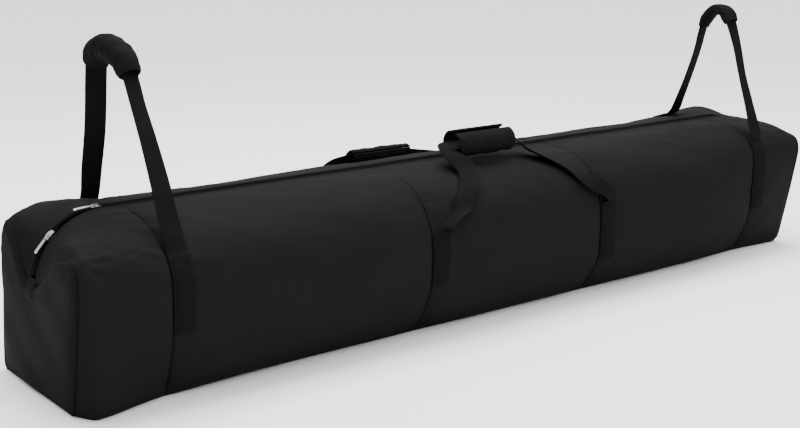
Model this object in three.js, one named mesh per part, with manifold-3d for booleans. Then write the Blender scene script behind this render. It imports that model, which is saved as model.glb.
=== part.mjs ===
import * as THREE from "three";
import { mergeVertices } from "three/addons/utils/BufferGeometryUtils.js";
import Module from "manifold-3d";

const wasm = await Module();
wasm.setup();

// A long, stuffed ski bag. Millimetres: X runs along the bag, -Y is its front, Z is up,
// and the middle of its flat base is the origin.

// Driving dimensions.
const END_X = 950;                    // outside of each end panel
const FABRIC = 2.5;                   // coated fabric with its foam lining
const GAP = 0.4;                      // clearance at every seam
const CROSS_SEAMS = [-785, -230, 240, 778];
const WEBBING_WIDTH = 38;
const WEBBING = 2.4;                  // webbing thickness
const WEBBING_SEAT = 1.2;             // webbing's clearance over the panel it is sewn to
const ZIP_EDGE = 16;                  // half width of the zip between the panels
const ZIP_Z = 311.5;                  // middle of the teeth on the flat run
const ZIP_RIGHT = 860;                // right end of the teeth
const SHOULDER = { x: -818, radius: 132 };   // the zip's bend over the left end
const ZIP_END_ANGLE = 76;             // where the bend's teeth stop, degrees
const TOP_SLIDER_X = -828;
const SLIDER_DROP = 0.5;              // the top slider sits low, because the bend starts under it
const END_SLIDER_ANGLE = 44.2;
const PULL_TILT = 3.9;

// Cross-sections: half width at the belly and at the base, belly height, crown height, squareness.
const BODY = [203, 150, 160, 313, 2.5];
const LEFT_END = [160, 152, 125, 272, 5];
const RIGHT_END = [178, 148, 185, 305, 4];

const COLOURS = {
  fabric: { color: 0x1b1b1d, roughness: 0.82, metalness: 0 },
  webbing: { color: 0x111113, roughness: 0.75, metalness: 0 },
  padding: { color: 0x18181a, roughness: 0.85, metalness: 0 },
  tape: { color: 0x121214, roughness: 0.8, metalness: 0 },
  metal: { color: 0xc9cacc, roughness: 0.3, metalness: 1 },
};

const group = new THREE.Group();
const radians = THREE.MathUtils.degToRad;
const vector = (x, y, z) => new THREE.Vector3(x, y, z);
const smooth = (t) => THREE.MathUtils.smoothstep(t, 0, 1);
const steps = (from, to, count) =>
  Array.from({ length: count + 1 }, (_, i) => from + ((to - from) * i) / count);

function addPart(name, geometry, finish) {
  const mesh = new THREE.Mesh(geometry, new THREE.MeshStandardMaterial(COLOURS[finish]));
  mesh.name = name;
  group.add(mesh);
  return mesh;
}

// A closed skin between two grids of points that have the same rows and columns.
function slab(outer, inner) {
  const rows = outer.length - 1;
  const columns = outer[0].length - 1;
  const layer = (rows + 1) * (columns + 1);
  const points = [...outer.flat(), ...inner.flat()];
  const at = (i, j, k) => k * layer + i * (columns + 1) + j;
  const index = [];
  const quad = (a, b, c, d) => index.push(a, b, c, a, c, d);
  for (let i = 0; i < rows; i += 1) {
    for (let j = 0; j < columns; j += 1) {
      quad(at(i, j, 0), at(i, j + 1, 0), at(i + 1, j + 1, 0), at(i + 1, j, 0));
      quad(at(i, j, 1), at(i + 1, j, 1), at(i + 1, j + 1, 1), at(i, j + 1, 1));
    }
    quad(at(i, 0, 0), at(i + 1, 0, 0), at(i + 1, 0, 1), at(i, 0, 1));
    quad(at(i, columns, 0), at(i, columns, 1), at(i + 1, columns, 1), at(i + 1, columns, 0));
  }
  for (let j = 0; j < columns; j += 1) {
    quad(at(0, j, 0), at(0, j, 1), at(0, j + 1, 1), at(0, j + 1, 0));
    quad(at(rows, j, 0), at(rows, j + 1, 0), at(rows, j + 1, 1), at(rows, j, 1));
  }
  let volume = 0;
  for (let i = 0; i < index.length; i += 3) {
    const [a, b, c] = [points[index[i]], points[index[i + 1]], points[index[i + 2]]];
    volume += a.dot(vector(0, 0, 0).crossVectors(b, c));
  }
  if (volume < 0) index.reverse();
  const geometry = new THREE.BufferGeometry().setFromPoints(points);
  geometry.setIndex(index);
  return geometry;
}

function join(geometries) {
  const solids = geometries.map((geometry) => {
    geometry.deleteAttribute("normal");
    geometry.deleteAttribute("uv");
    const merged = mergeVertices(geometry, 1e-4);
    return new wasm.Manifold(new wasm.Mesh({
      numProp: 3,
      vertProperties: new Float32Array(merged.attributes.position.array),
      triVerts: new Uint32Array(merged.index.array),
    }));
  });
  const mesh = solids.reduce((whole, solid) => whole.add(solid)).getMesh();
  const geometry = new THREE.BufferGeometry();
  geometry.setAttribute("position", new THREE.BufferAttribute(mesh.vertProperties, 3));
  geometry.setIndex(new THREE.BufferAttribute(mesh.triVerts, 1));
  return geometry;
}

// The bag's outer skin. Height of the teeth above the base at a distance x along the bag.
function zipHeight(x) {
  if (x >= SHOULDER.x) return ZIP_Z;
  return ZIP_Z - SHOULDER.radius + Math.sqrt(SHOULDER.radius ** 2 - (x - SHOULDER.x) ** 2);
}

function sectionAt(x, inset) {
  const reachLeft = (CROSS_SEAMS[0] - x) / (END_X + CROSS_SEAMS[0]);
  const reachRight = (x - CROSS_SEAMS[3]) / (END_X - CROSS_SEAMS[3]);
  const end = x < 0 ? LEFT_END : RIGHT_END;
  const share = smooth(Math.max(reachLeft, reachRight));
  const [wide, base, belly, crown, round] = BODY.map((value, i) => value + (end[i] - value) * share);
  const dip = x < SHOULDER.x ? crown - zipHeight(x) - 1.5 : 0;
  return { wide: wide - inset, base: base - inset, belly, crown: crown - inset, round, dip };
}

// Half width of the skin at a height z on the bag's side.
function halfWidth(x, z, inset) {
  const s = sectionAt(x, inset);
  if (z < s.belly) return s.wide - (s.wide - s.base) * (1 - z / s.belly) ** 2.2;
  return s.wide * (1 - ((z - s.belly) / (s.crown - s.belly)) ** s.round) ** (1 / s.round);
}

// Front half of the skin's section from the base seam up and over to the zip, as [y, z] pairs.
function outline(x, inset, baseZ) {
  const s = sectionAt(x, inset);
  const points = steps(baseZ, s.belly, 5).slice(0, -1).map((z) => [-halfWidth(x, z, inset), z]);
  const k = ZIP_EDGE / s.wide;
  const last = Math.atan2((1 - k ** s.round) ** (1 / s.round), k);
  for (const angle of steps(0, last, 10)) {
    const [c, d] = [Math.cos(angle), Math.sin(angle)];
    const r = (c ** s.round + d ** s.round) ** (-1 / s.round);
    const y = s.wide * c * r;
    const sag = s.dip * Math.exp(-(((y - ZIP_EDGE) / 75) ** 2));
    points.push([-y, s.belly + (s.crown - s.belly) * d * r - sag]);
  }
  return points;
}

function skinGrid(xs, inset, side, baseZ) {
  return xs.map((x) => outline(x, inset, baseZ).map(([y, z]) => vector(x, -side * y, z)));
}

function addSidePanels() {
  const edges = [-(END_X - FABRIC - GAP), ...CROSS_SEAMS, END_X - FABRIC - GAP];
  const bays = ["left_end_bay", "left_bay", "centre_bay", "right_bay", "right_end_bay"];
  const stations = [12, 2, 2, 2, 8];
  for (const [bay, name] of bays.entries()) {
    const xs = steps(edges[bay] + GAP / 2, edges[bay + 1] - GAP / 2, stations[bay]);
    for (const [label, side] of [["front", -1], ["rear", 1]]) {
      const baseZ = FABRIC + GAP;
      const skin = slab(skinGrid(xs, 0, side, baseZ), skinGrid(xs, FABRIC, side, baseZ));
      addPart(`${label}_panel_${name}`, skin, "fabric");
    }
  }
}

function addBasePanel() {
  const reach = END_X - FABRIC - GAP;
  const xs = [...steps(-reach, CROSS_SEAMS[0], 4), ...steps(CROSS_SEAMS[3], reach, 4)];
  const row = (z) => xs.map((x) => {
    const half = sectionAt(x, 0).base;
    return [-half, -half / 3, half / 3, half].map((y) => vector(x, y, z));
  });
  addPart("base_panel", slab(row(0), row(FABRIC)), "fabric");
}

// Each end panel is the section's outline, standing upright.
function addEndPanel(name, x, toward) {
  const half = outline(x, 0, 0);
  const shape = new THREE.Shape(half.map(([y, z]) => new THREE.Vector2(y, z)));
  for (const [y, z] of half.slice().reverse()) shape.lineTo(-y, z);
  const plate = new THREE.ExtrudeGeometry(shape, { depth: FABRIC, bevelEnabled: false });
  const turned = plate.rotateX(Math.PI / 2).rotateZ(Math.PI / 2);
  turned.translate(toward < 0 ? x : x - FABRIC, 0, 0);
  addPart(name, turned, "fabric");
}

// The zip: places along the line of teeth, flat first and then round the left shoulder.
function zipPlace(angle) {
  const a = radians(angle);
  return {
    x: SHOULDER.x - SHOULDER.radius * Math.sin(a),
    z: ZIP_Z - SHOULDER.radius * (1 - Math.cos(a)),
    nx: -Math.sin(a),
    nz: Math.cos(a),
  };
}

const OPEN_FROM = 8.7;                // degrees round the shoulder, just past the top slider
const OPEN_TO = 39.7;                 // and just short of the end slider
const OPEN_HALF = 5.5;

function parting(angle) {
  const t = (angle - OPEN_FROM) / (OPEN_TO - OPEN_FROM);
  if (t <= 0 || t >= 1) return 0;
  return OPEN_HALF * Math.min(1, 1.6 * Math.sin(Math.PI * t));
}

function zipStrip(inner, outer, half, side, parts) {
  const angles = [0, ...steps(OPEN_FROM, OPEN_TO, 12), ...steps(OPEN_TO + 6, ZIP_END_ANGLE, 6)];
  const places = angles.map((angle) => ({ ...zipPlace(angle), shift: parting(angle) }));
  places.unshift({ x: ZIP_RIGHT, z: ZIP_Z, nx: 0, nz: 1, shift: 0 });
  const grid = (lift) => places.map((p) => [inner + p.shift, outer + parts * p.shift].map(
    (y) => vector(p.x + lift * p.nx, side * y, p.z + lift * p.nz),
  ));
  return slab(grid(half), grid(-half));
}

function addZip() {
  for (const [label, side] of [["front", -1], ["rear", 1]]) {
    addPart(`${label}_zip_tape`, zipStrip(4.9, 15.6, 0.6, side, 0), "tape");
    addPart(`${label}_zip_teeth`, zipStrip(0.9, 4.5, 1.5, side, 1), "tape");
  }
  const top = END_X - FABRIC - 2 * GAP;
  const tab = (lift) => steps(ZIP_RIGHT + GAP, top, 3).map((x) => [-15.6, 15.6].map(
    (y) => vector(x, y, sectionAt(x, 0).crown - lift),
  ));
  addPart("zip_end_tab", slab(tab(0), tab(FABRIC)), "fabric");
}

// Box with its middle at (x, y, z).
function block(sizeX, sizeY, sizeZ, x, y, z) {
  return new THREE.BoxGeometry(sizeX, sizeY, sizeZ).translate(x, y, z);
}

// A slider's wings above and below the teeth, the post between the two rows and the pull's bridge.
function sliderBody() {
  return join([
    block(18, 13, 1.4, 0, 0, 3.4),
    block(18, 13, 1.4, 0, 0, -3.4),
    block(4, 1.0, 6.2, 6, 0, 0),
    block(1.4, 3, 3.6, 4.3, 0, 5.6),
    block(1.4, 3, 3.6, -4.3, 0, 5.6),
    block(10, 3, 1.2, 0, 0, 7.6),
  ]);
}

// A flat pull with an eye: its cross bar passes through the slider's bridge.
function pullTab() {
  const outline = new THREE.Shape();
  outline.moveTo(0.9, -4.4);
  outline.lineTo(0.9, 4.4);
  outline.lineTo(-34, 4.4);
  outline.absarc(-34, 0, 4.4, Math.PI / 2, Math.PI * 1.5, false);
  const eye = new THREE.Path();
  eye.moveTo(-0.9, -3);
  eye.lineTo(-11, -3);
  eye.lineTo(-11, 3);
  eye.lineTo(-0.9, 3);
  outline.holes.push(eye);
  const plate = new THREE.ExtrudeGeometry(outline, { depth: 1.4, bevelEnabled: false, curveSegments: 6 });
  return plate.translate(0, 0, -0.7).rotateY(-radians(PULL_TILT));
}

// x, z and slope of each slider; the pull turns on the point 5.55 above the teeth.
function addSliders() {
  const end = zipPlace(END_SLIDER_ANGLE);
  const seats = [
    ["top_slider", TOP_SLIDER_X, ZIP_Z - SLIDER_DROP, 0],
    ["end_slider", end.x, end.z, END_SLIDER_ANGLE],
  ];
  for (const [name, x, z, slope] of seats) {
    const seat = new THREE.Group();
    seat.position.set(x, 0, z);
    seat.rotation.y = -radians(slope);
    const body = addPart(name, sliderBody(), "metal");
    const pull = addPart(`${name}_pull`, pullTab(), "metal");
    pull.position.set(-0.7, 0, 5.55);
    seat.add(body, pull);
    group.add(seat);
  }
}

// The stretch of an outline between two heights, cut across its chords.
function stretch(points, low, high) {
  const cut = (z) => {
    const i = points.findIndex((point) => point[1] > z);
    const [[ya, za], [yb, zb]] = [points[i - 1], points[i]];
    return [ya + ((yb - ya) * (z - za)) / (zb - za), z];
  };
  return [cut(low), ...points.filter(([, z]) => z > low + 3 && z < high - 3), cut(high)];
}

// Webbing sewn flat on the bag's side between two heights, centred on x.
function sewnWebbing(x, side, low, high) {
  const grid = (lift) => [-0.5, 0, 0.5].map((share) => x + share * WEBBING_WIDTH).map((edge) => stretch(outline(edge, -lift, FABRIC + GAP), low, high)
    .map(([y, z]) => vector(edge, -side * y, z)));
  return slab(grid(WEBBING_SEAT + WEBBING), grid(WEBBING_SEAT));
}

function addSewnWebbing() {
  const centre = CROSS_SEAMS.map((seam) => seam + 19.5);
  addPart("left_front_anchor", sewnWebbing(centre[0], -1, 105, 283), "webbing");
  addPart("left_rear_anchor", sewnWebbing(centre[0], 1, 105, 283), "webbing");
  addPart("front_handle_left_anchor", sewnWebbing(centre[1], -1, 104, 208), "webbing");
  addPart("rear_handle_left_anchor", sewnWebbing(centre[1], 1, 106, 207), "webbing");
  addPart("front_handle_right_anchor", sewnWebbing(centre[2], -1, 78, 208), "webbing");
  addPart("rear_handle_right_anchor", sewnWebbing(centre[2], 1, 80, 207), "webbing");
  addPart("right_front_anchor", sewnWebbing(centre[3], -1, 105, 283), "webbing");
  addPart("right_rear_anchor", sewnWebbing(centre[3], 1, 105, 303), "webbing");
}

// A strap along a curve. facing gives the direction its flat face looks, from centre and tangent.
function strap(points, facing, count, roundEnds) {
  const curve = new THREE.CatmullRomCurve3(points, false, "centripetal");
  const length = curve.getLength();
  const radius = WEBBING_WIDTH / 2;
  const nose = roundEnds ? [0.3, 2.5, 6, 11, 19].map((s) => s / length) : [0];
  const inside = steps(nose.at(-1), 1 - nose.at(-1), count).slice(1, -1);
  const places = [...nose, ...inside, ...nose.map((s) => 1 - s).reverse()];
  const grids = [[], []];
  for (const u of places) {
    const centre = curve.getPointAt(u);
    const tangent = curve.getTangentAt(u);
    const across = vector(0, 0, 0).crossVectors(facing(centre, tangent), tangent).normalize();
    const flat = vector(0, 0, 0).crossVectors(tangent, across);
    const fromEnd = Math.min(u, 1 - u) * length;
    const short = roundEnds ? Math.max(0, radius - fromEnd) : 0;
    const half = Math.sqrt(radius ** 2 - short ** 2);
    for (const [k, sign] of [[0, 1], [1, -1]]) {
      grids[k].push([-1, 1].map((edge) => centre.clone()
        .addScaledVector(across, edge * half)
        .addScaledVector(flat, (sign * WEBBING) / 2)));
    }
  }
  return slab(grids[0], grids[1]);
}

// Part of a padded sleeve round a curve, between two angles measured from side towards up.
function sleeve(points, side, wide, thick, fromAngle, toAngle, count) {
  const curve = new THREE.CatmullRomCurve3(points, false, "centripetal");
  const grids = [[], []];
  const wall = 4.5;
  for (const u of steps(0, 1, count)) {
    const centre = curve.getPointAt(u);
    const up = vector(0, 0, 0).crossVectors(curve.getTangentAt(u), side).normalize();
    if (up.z < 0) up.negate();
    for (const [k, inset] of [[0, 0], [1, wall]]) {
      grids[k].push(steps(fromAngle, toAngle, 12).map((angle) => centre.clone()
        .addScaledVector(side, (wide - inset) * Math.cos(radians(angle)))
        .addScaledVector(up, (thick - inset) * Math.sin(radians(angle)))));
    }
  }
  return slab(grids[0], grids[1]);
}

const ALONG_X = vector(1, 0, 0);
const faceAlongLoop = (centre, tangent) => vector(0, 0, 0).crossVectors(tangent, ALONG_X);
const faceOffBag = (centre) => vector(0, centre.y, 1.2 * (centre.z - BODY[2])).normalize();

// Carry loops over the bag's two ends: [y, z] from the front leg over the grip to the rear leg.
const LOOPS = {
  left: {
    x: -766,
    strap: [
      [-162, 284], [-156, 312], [-128, 364], [-90, 438], [-59, 493], [-38, 534], [-18, 562], [20, 578],
      [62, 580], [92, 565], [100, 535], [117, 432], [144, 340], [156, 303], [160, 284],
    ],
    grip: [[-34, 541], [-18, 562], [20, 578], [62, 580], [92, 565], [101, 540]],
    radius: 26,
  },
  right: {
    x: 797,
    strap: [
      [-167, 293], [-162, 318], [-146, 361], [-120, 431], [-100, 501], [-80, 552], [-62, 578], [-36, 584],
      [-12, 566], [2, 540], [19, 479], [46, 402], [68, 348], [74, 330], [79, 313.5],
    ],
    grip: [[-79, 554], [-62, 578], [-36, 584], [-12, 566], [3, 538]],
    radius: 25.5,
  },
};

function addLoops() {
  for (const [label, loop] of Object.entries(LOOPS)) {
    const place = ([y, z]) => vector(loop.x, y, z);
    addPart(`${label}_loop_strap`, strap(loop.strap.map(place), faceAlongLoop, 36, true), "webbing");
    const wrap = sleeve(loop.grip.map(place), ALONG_X, loop.radius, loop.radius, -88, 268, 12);
    addPart(`${label}_loop_grip`, wrap, "padding");
  }
}

// Centre handles: [x, y, z] from the left anchor over the grip to the right anchor.
const HANDLES = {
  front: {
    strap: [
      [-210.5, -206, 215], [-207, -205, 228], [-191, -200, 244], [-152, -186, 263], [-118, -162, 285], [-104, -120, 313],
      [-100, -84, 336], [-86, -64, 345], [-66, -62, 346], [10, -62, 346], [86, -62, 346], [104, -64, 344], [120, -84, 330],
      [140, -120, 309], [178, -158, 286], [214, -188, 257], [242, -202, 242], [256, -205, 229], [259.5, -206, 215],
    ],
    grip: [[-66, -62, 346], [10, -62, 346], [86, -62, 346]],
    side: [0, -1, 0],
    wide: 27,
    thick: 27,
    flapFrom: 85,
    flapHinge: 230,
    open: 24,
  },
  rear: {
    strap: [
      [-210.5, 206, 215], [-211.5, 204.5, 236], [-209, 200, 262], [-196, 186, 283], [-176, 176, 290],
      [-110, 176, 291], [-40, 176, 290], [-10, 178, 286], [60, 190, 272], [150, 204, 254],
      [212, 207, 248], [244, 208, 240], [257, 208, 228], [259.5, 206, 215],
    ],
    grip: [[-178, 176, 290], [-110, 176, 291], [-38, 176, 290]],
    side: [0, 0.66, -0.75],
    wide: 27,
    thick: 17,
    flapFrom: -20,
    flapHinge: 190,
    open: 0,
  },
};

function addHandles() {
  for (const [label, handle] of Object.entries(HANDLES)) {
    const place = ([x, y, z]) => vector(x, y, z);
    addPart(`${label}_handle_strap`, strap(handle.strap.map(place), faceOffBag, 36, false), "webbing");
    const { wide, thick, flapFrom, flapHinge, open } = handle;
    const axis = handle.grip.map(place);
    const side = vector(...handle.side).normalize();
    const up = vector(0, 0, 0).crossVectors(ALONG_X, side);
    const turn = Math.sign(up.z);
    up.multiplyScalar(turn);
    const slit = 1.5;
    const shell = sleeve(axis, side, wide, thick, flapHinge - 360 + slit, flapFrom - slit, 4);
    addPart(`${label}_grip_shell`, shell, "padding");
    const flap = sleeve(axis, side, wide, thick, flapFrom, flapHinge, 4);
    const hinge = axis[0].clone()
      .addScaledVector(side, wide * Math.cos(radians(flapHinge)))
      .addScaledVector(up, thick * Math.sin(radians(flapHinge)));
    flap.translate(-hinge.x, -hinge.y, -hinge.z);
    const mesh = addPart(`${label}_grip_flap`, flap, "padding");
    mesh.rotation.x = radians(turn * open);
    mesh.position.copy(hinge);
  }
}

addSidePanels();
addBasePanel();
addEndPanel("left_end_panel", -END_X, -1);
addEndPanel("right_end_panel", END_X, 1);
addZip();
addSliders();
addSewnWebbing();
addLoops();
addHandles();

export default group;
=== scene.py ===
import math

import bmesh
import bpy
import numpy as np
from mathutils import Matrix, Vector


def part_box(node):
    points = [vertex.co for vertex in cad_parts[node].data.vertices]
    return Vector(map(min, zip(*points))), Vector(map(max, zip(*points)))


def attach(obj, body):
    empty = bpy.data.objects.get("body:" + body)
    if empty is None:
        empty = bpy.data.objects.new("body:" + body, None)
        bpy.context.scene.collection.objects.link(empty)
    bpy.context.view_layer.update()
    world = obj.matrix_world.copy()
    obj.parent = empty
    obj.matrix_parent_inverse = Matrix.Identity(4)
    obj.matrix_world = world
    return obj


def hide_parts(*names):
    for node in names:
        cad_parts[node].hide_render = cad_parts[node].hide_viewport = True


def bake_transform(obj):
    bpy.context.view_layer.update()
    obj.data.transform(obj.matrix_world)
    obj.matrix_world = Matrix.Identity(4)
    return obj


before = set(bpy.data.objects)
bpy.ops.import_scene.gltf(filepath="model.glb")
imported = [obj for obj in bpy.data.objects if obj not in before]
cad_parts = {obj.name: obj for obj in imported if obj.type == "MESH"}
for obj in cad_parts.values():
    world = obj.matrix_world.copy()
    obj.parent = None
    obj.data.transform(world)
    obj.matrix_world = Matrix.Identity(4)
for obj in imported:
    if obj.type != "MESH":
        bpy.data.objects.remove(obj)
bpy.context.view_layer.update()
MM = 0.001

# ---------------------------------------------------------------- camera and light


LENS, SENSOR = 56.8, 36.0
CAMERA_PLACE = (-1.7258, -2.0025, 0.8044)
LOOKS_DOWN, LOOKS_RIGHT = 0.2321, 0.6648
# the background's strength at the horizon and overhead, and the share of it left on the flagged side
HORIZON, ZENITH, FLAGGED = 0.6, 3.4, 0.12


def make_camera():
    data = bpy.data.cameras.new("camera")
    data.lens = LENS
    data.sensor_width = SENSOR
    camera = bpy.data.objects.new("camera", data)
    bpy.context.scene.collection.objects.link(camera)
    camera.location = CAMERA_PLACE
    camera.rotation_euler = (math.pi / 2 - LOOKS_DOWN, 0.0, -LOOKS_RIGHT)
    bpy.context.scene.camera = camera


def add_area(name, location, target, size, power):
    data = bpy.data.lights.new(name, "AREA")
    data.shape = "RECTANGLE"
    data.size, data.size_y = size
    data.energy = power
    light = bpy.data.objects.new(name, data)
    light.location = location
    aim = Vector(target) - Vector(location)
    light.rotation_euler = aim.to_track_quat("-Z", "Y").to_euler()
    bpy.context.scene.collection.objects.link(light)


def make_studio():
    world = bpy.data.worlds.new("studio")
    bpy.context.scene.world = world
    world.use_nodes = True
    background = world.node_tree.nodes["Background"]
    tree = world.node_tree
    place = tree.nodes.new("ShaderNodeTexCoord")
    split = tree.nodes.new("ShaderNodeSeparateXYZ")
    rise = tree.nodes.new("ShaderNodeMapRange")
    rise.inputs["To Min"].default_value = HORIZON
    rise.inputs["To Max"].default_value = ZENITH
    tree.links.new(place.outputs["Generated"], split.inputs["Vector"])
    tree.links.new(split.outputs["Z"], rise.inputs["Value"])
    # the studio's left side is flagged, to hold back the light on the bag's near end
    flag = tree.nodes.new("ShaderNodeMapRange")
    flag.inputs["From Min"].default_value = -1.0
    flag.inputs["From Max"].default_value = 0.1
    flag.inputs["To Min"].default_value = FLAGGED
    flag.inputs["To Max"].default_value = 1.0
    joined = tree.nodes.new("ShaderNodeMath")
    joined.operation = "MULTIPLY"
    tree.links.new(split.outputs["X"], flag.inputs["Value"])
    tree.links.new(rise.outputs["Result"], joined.inputs[0])
    tree.links.new(flag.outputs["Result"], joined.inputs[1])
    tree.links.new(joined.outputs[0], background.inputs["Strength"])
    background.inputs["Color"].default_value = (1.0, 1.0, 1.0, 1.0)
    add_area("top_softbox", (0.0, 0.6, 3.2), (0.0, 0.0, 0.2), (3.4, 1.6), 185)
    add_area("front_fill", (0.9, -3.4, 2.4), (0.0, 0.0, 0.2), (1.8, 1.4), 25)
    bpy.ops.mesh.primitive_plane_add(size=60, location=(0, 0, -0.0005))
    floor = bpy.context.object
    floor.name = "floor"
    material = bpy.data.materials.new("floor")
    material.use_nodes = True
    shader = material.node_tree.nodes["Principled BSDF"]
    shader.inputs["Base Color"].default_value = (0.9, 0.9, 0.9, 1)
    shader.inputs["Roughness"].default_value = 1.0
    shader.inputs["Specular IOR Level"].default_value = 0.0
    floor.data.materials.append(material)


# ---------------------------------------------------------------- materials


SPECULAR = 0.007


class Nodes:
    """Short calls for building one material's node tree."""

    def __init__(self, name, color, roughness, metallic=0.0):
        self.material = bpy.data.materials.new(name)
        self.material.use_nodes = True
        self.tree = self.material.node_tree
        self.shader = self.tree.nodes["Principled BSDF"]
        self.shader.inputs["Base Color"].default_value = (*color, 1)
        self.shader.inputs["Roughness"].default_value = roughness
        self.shader.inputs["Metallic"].default_value = metallic
        self.shader.inputs["Specular IOR Level"].default_value = 0.5 if metallic else SPECULAR

    def add(self, kind, **settings):
        node = self.tree.nodes.new(kind)
        for key, value in settings.items():
            setattr(node, key, value)
        return node

    def link(self, source, target):
        self.tree.links.new(source, target)

    def coordinates(self, kind):
        return self.add("ShaderNodeTexCoord").outputs[kind]

    def threads(self, vector, per_metre, direction):
        node = self.add("ShaderNodeTexWave", wave_type="BANDS", bands_direction=direction)
        node.inputs["Scale"].default_value = per_metre / 2 / math.pi
        self.link(vector, node.inputs["Vector"])
        return node.outputs["Fac"]

    def noise(self, vector, scale, detail=3.0):
        node = self.add("ShaderNodeTexNoise")
        node.inputs["Scale"].default_value = scale
        node.inputs["Detail"].default_value = detail
        self.link(vector, node.inputs["Vector"])
        return node.outputs["Fac"]

    def math(self, operation, a, b):
        node = self.add("ShaderNodeMath", operation=operation)
        for socket, value in zip(node.inputs, (a, b)):
            if isinstance(value, (int, float)):
                socket.default_value = value
            else:
                self.link(value, socket)
        return node.outputs[0]

    def roughen(self, factor, low, high):
        node = self.add("ShaderNodeMapRange")
        node.inputs["To Min"].default_value = low
        node.inputs["To Max"].default_value = high
        self.link(factor, node.inputs["Value"])
        self.link(node.outputs[0], self.shader.inputs["Roughness"])

    def tint(self, factor, dark, light):
        node = self.add("ShaderNodeMix", data_type="RGBA")
        node.inputs[6].default_value = (*dark, 1)
        node.inputs[7].default_value = (*light, 1)
        self.link(factor, node.inputs[0])
        self.link(node.outputs[2], self.shader.inputs["Base Color"])

    def bump(self, height, strength, distance, after=None):
        node = self.add("ShaderNodeBump")
        node.inputs["Strength"].default_value = strength
        node.inputs["Distance"].default_value = distance
        self.link(height, node.inputs["Height"])
        if after is not None:
            self.link(after, node.inputs["Normal"])
        self.link(node.outputs["Normal"], self.shader.inputs["Normal"])
        return node.outputs["Normal"]


def plain_weave(name, dark, light, threads_per_metre, roughness, coordinate="UV"):
    """Coated cloth: warp and weft threads, faint cloudiness, fine creases."""
    n = Nodes(name, light, roughness[0])
    place = n.coordinates(coordinate)
    warp = n.threads(place, threads_per_metre, "X")
    weft = n.threads(place, threads_per_metre, "Y")
    cloth = n.math("MULTIPLY", n.math("ADD", warp, weft), 0.5)
    clouds = n.noise(place, 9.0, 4.0)
    creases = n.noise(place, 60.0, 2.0)
    shade = n.math("ADD", n.math("MULTIPLY", clouds, 0.6), n.math("MULTIPLY", cloth, 0.4))
    n.tint(shade, dark, light)
    n.roughen(clouds, *roughness)
    soft = n.bump(creases, 0.06, 0.0012)
    n.bump(cloth, 0.22, 0.0001, after=soft)
    return n.material


def ribbed_webbing(name, dark, light):
    """Webbing: ribs across the strap with a fine twill along it."""
    n = Nodes(name, light, 0.6)
    place = n.coordinates("UV")
    ribs = n.threads(place, 860, "Y")
    twill = n.threads(place, 1240, "X")
    weave = n.math("MULTIPLY", n.math("ADD", ribs, twill), 0.5)
    clouds = n.noise(place, 25.0, 3.0)
    n.tint(n.math("MULTIPLY", weave, n.math("ADD", clouds, 0.5)), dark, light)
    n.roughen(clouds, 0.5, 0.72)
    n.bump(weave, 0.45, 0.00025)
    return n.material


def plated_metal(name):
    n = Nodes(name, (0.80, 0.80, 0.82), 0.25, metallic=1.0)
    smears = n.noise(n.coordinates("Object"), 260.0, 4.0)
    n.tint(smears, (0.62, 0.62, 0.64), (0.9, 0.9, 0.92))
    n.roughen(smears, 0.16, 0.38)
    n.bump(smears, 0.12, 0.0002)
    return n.material


def nylon(name, color):
    n = Nodes(name, color, 0.45)
    grain = n.noise(n.coordinates("Object"), 500.0, 2.0)
    n.roughen(grain, 0.35, 0.6)
    n.bump(grain, 0.2, 0.0002)
    return n.material


SHELL_DARK, SHELL_LIGHT = (0.0068, 0.0068, 0.0071), (0.0108, 0.0108, 0.0111)
WEB_DARK, WEB_LIGHT = (0.0030, 0.0030, 0.0032), (0.0096, 0.0096, 0.0099)
GRIP_DARK, GRIP_LIGHT = (0.0052, 0.0052, 0.0055), (0.0090, 0.0090, 0.0094)
TAPE_DARK, TAPE_LIGHT = (0.0042, 0.0042, 0.0045), (0.0078, 0.0078, 0.0082)
MATERIALS = {
    "shell_fabric": plain_weave("shell_fabric", SHELL_DARK, SHELL_LIGHT, 1500, (0.5, 0.66)),
    "webbing": ribbed_webbing("webbing", WEB_DARK, WEB_LIGHT),
    "grip_fabric": plain_weave("grip_fabric", GRIP_DARK, GRIP_LIGHT, 1300, (0.55, 0.7), "Object"),
    "zip_tape": plain_weave("zip_tape", TAPE_DARK, TAPE_LIGHT, 2400, (0.6, 0.75)),
    "zip_teeth": nylon("zip_teeth", (0.007, 0.007, 0.0075)),
    "thread": nylon("thread", (0.020, 0.020, 0.021)),
    "slider_metal": plated_metal("slider_metal"),
}

# ---------------------------------------------------------------- mesh helpers


def new_object(name, vertices, faces, uvs, finish, smooth=True):
    mesh = bpy.data.meshes.new(name)
    mesh.from_pydata([tuple(v) for v in vertices], [], faces)
    if uvs is not None:
        layer = mesh.uv_layers.new(name="weave")
        loops = np.empty(len(mesh.loops), np.int32)
        mesh.loops.foreach_get("vertex_index", loops)
        layer.data.foreach_set("uv", np.asarray(uvs, np.float32)[loops].ravel())
    mesh.polygons.foreach_set("use_smooth", [smooth] * len(mesh.polygons))
    mesh.materials.append(MATERIALS[finish])
    mesh.update()
    made = bpy.data.objects.new(name, mesh)
    bpy.context.scene.collection.objects.link(made)
    return made


def grid_faces(rows, columns, start=0, flip=False):
    i, j = np.meshgrid(np.arange(rows - 1), np.arange(columns - 1), indexing="ij")
    a = start + i * columns + j
    quads = np.stack([a, a + 1, a + columns + 1, a + columns], -1).reshape(-1, 4)
    return (quads[:, ::-1] if flip else quads).tolist()


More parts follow.
